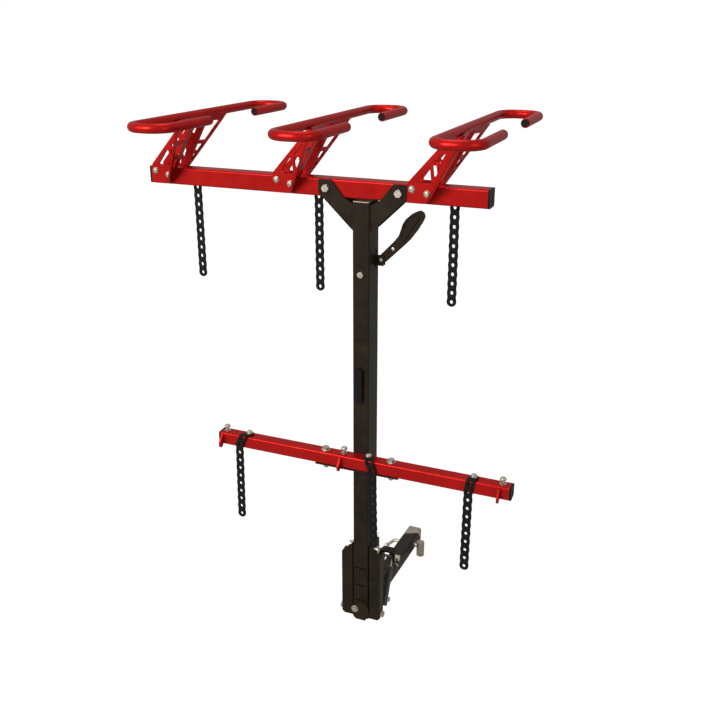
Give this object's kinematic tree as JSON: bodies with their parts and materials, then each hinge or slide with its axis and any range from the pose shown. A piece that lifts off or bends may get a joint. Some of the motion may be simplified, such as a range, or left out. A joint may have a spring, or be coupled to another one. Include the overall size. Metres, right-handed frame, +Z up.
{
  "type": "hitch bike rack",
  "caption": "Tilting hitch-mounted bike rack with a tall mast, wheel baskets on an upper crossbar and a lower crossbar with rubber straps.",
  "frame": {"origin": "centre of the hitch pin's bore in the shank", "axes": "+X to the right seen from behind the vehicle, +Y forward into the vehicle's receiver, +Z up"},
  "size_m": [1.169, 0.8953, 1.6527],
  "materials": {
    "red_powder": "glossy powder coat",
    "black_powder": "satin textured powder coat",
    "zinc_plate": "zinc plated",
    "bare_steel": "bare",
    "black_rubber": "matt",
    "grey_paint": "satin"
  },
  "bodies": {
    "hitch_base": {"shank": "black_powder", "yoke_left": "black_powder", "yoke_right": "black_powder", "heel_plate": "black_powder", "shank_gussets": "black_powder", "pivot_bolt": "zinc_plate", "pivot_nut": "zinc_plate", "pivot_washers": "zinc_plate", "lock_sockets": "zinc_plate", "damper_stud": "zinc_plate"},
    "mast": {"mast_tube": "black_powder", "mast_foot": "black_powder", "toe_plate": "black_powder", "toe_bolt": "zinc_plate", "lock_guide": "bare_steel", "lock_plates": "black_powder", "damper_arm": "black_powder", "pull_handle": "black_rubber", "mast_bolts": "zinc_plate", "lever_bracket": "black_powder", "lever_rivet": "zinc_plate", "upper_crossbar": "red_powder", "upper_caps": "black_rubber", "hoop_1": "red_powder", "hoop_2": "red_powder", "hoop_3": "red_powder", "hoop_plugs": "black_rubber", "front_bracket_1": "red_powder", "front_bracket_2": "red_powder", "front_bracket_3": "red_powder", "rear_bracket_1": "red_powder", "rear_bracket_2": "red_powder", "rear_bracket_3": "red_powder", "bracket_bolts": "zinc_plate", "mast_plates_front": "black_powder", "mast_plates_rear": "black_powder", "mast_plate_bolts": "zinc_plate", "lower_crossbar": "red_powder", "lower_caps": "black_rubber", "mounting_plate": "black_powder", "lower_bolts": "zinc_plate", "strap_studs": "zinc_plate", "tie_loops": "red_powder", "strap_bolts": "zinc_plate", "lower_strap_1": "black_rubber", "lower_strap_2": "black_rubber", "lower_strap_3": "black_rubber"},
    "latch_slide": {"cam_plate": "bare_steel", "release_cable": "bare_steel"},
    "lock_pin_left": {"lock_pin_left": "zinc_plate"},
    "lock_pin_right": {"lock_pin_right": "zinc_plate"},
    "release_lever": {"release_lever": "black_powder"},
    "damper_cylinder": {"damper_cylinder": "grey_paint"},
    "damper_rod": {"damper_rod": "zinc_plate", "damper_pin": "zinc_plate"},
    "hitch_pin": {"hitch_pin": "zinc_plate"},
    "lock_barrel": {"lock_barrel": "bare_steel"},
    "upper_strap_1": {"upper_strap_1": "black_rubber"},
    "upper_strap_2": {"upper_strap_2": "black_rubber"},
    "upper_strap_3": {"upper_strap_3": "black_rubber"}
  },
  "joints": [
    {"name": "mast_tilt", "type": "hinge", "parent": "hitch_base", "child": "mast", "pos_m": [0, -0.4558, 0.029], "axis": [1, 0, 0], "range_deg": [0, 35]},
    {"name": "release_lever_swing", "type": "hinge", "parent": "mast", "child": "release_lever", "pos_m": [0.0443, -0.418, 1.217], "axis": [0, 1, 0], "range_deg": [-16, 0]},
    {"name": "latch_lift", "type": "slide", "parent": "mast", "child": "latch_slide", "axis": [0, 0, 1], "range_m": [-0.0126, 0]},
    {"name": "lock_pin_left_draw", "type": "slide", "parent": "mast", "child": "lock_pin_left", "axis": [1, 0, 0], "range_m": [-0.009, 0]},
    {"name": "lock_pin_right_draw", "type": "slide", "parent": "mast", "child": "lock_pin_right", "axis": [-1, 0, 0], "range_m": [-0.009, 0]},
    {"name": "damper_swing", "type": "hinge", "parent": "hitch_base", "child": "damper_cylinder", "pos_m": [0.045, -0.36, 0.015], "axis": [1, 0, 0], "range_deg": [0, 35]},
    {"name": "damper_stroke", "type": "slide", "parent": "damper_cylinder", "child": "damper_rod", "axis": [0, 0.4244, 0.9055], "range_m": [0, 0.0585]},
    {"name": "hitch_pin_pull", "type": "slide", "parent": "hitch_base", "child": "hitch_pin", "axis": [-1, 0, 0], "range_m": [0, 0.085]},
    {"name": "lock_barrel_pull", "type": "slide", "parent": "hitch_base", "child": "lock_barrel", "axis": [1, 0, 0], "range_m": [0, 0.03]},
    {"name": "upper_strap_1_swing", "type": "hinge", "parent": "mast", "child": "upper_strap_1", "pos_m": [-0.5634, -0.4052, 1.407], "axis": [0, 1, 0], "range_deg": [-18, 18]},
    {"name": "upper_strap_2_swing", "type": "hinge", "parent": "mast", "child": "upper_strap_2", "pos_m": [-0.157, -0.4052, 1.407], "axis": [0, 1, 0], "range_deg": [-18, 18]},
    {"name": "upper_strap_3_swing", "type": "hinge", "parent": "mast", "child": "upper_strap_3", "pos_m": [0.2494, -0.4052, 1.407], "axis": [0, 1, 0], "range_deg": [-18, 18]}
  ],
  "couplings": [
    {"joint": "latch_lift", "follows": "release_lever_swing", "m_per_rad": 0.0451},
    {"joint": "lock_pin_left_draw", "follows": "release_lever_swing", "m_per_rad": 0.0322},
    {"joint": "lock_pin_right_draw", "follows": "release_lever_swing", "m_per_rad": 0.0322},
    {"joint": "damper_swing", "follows": "mast_tilt", "ratio": 0.994},
    {"joint": "damper_stroke", "follows": "mast_tilt", "m_per_rad": 0.0954}
  ]
}
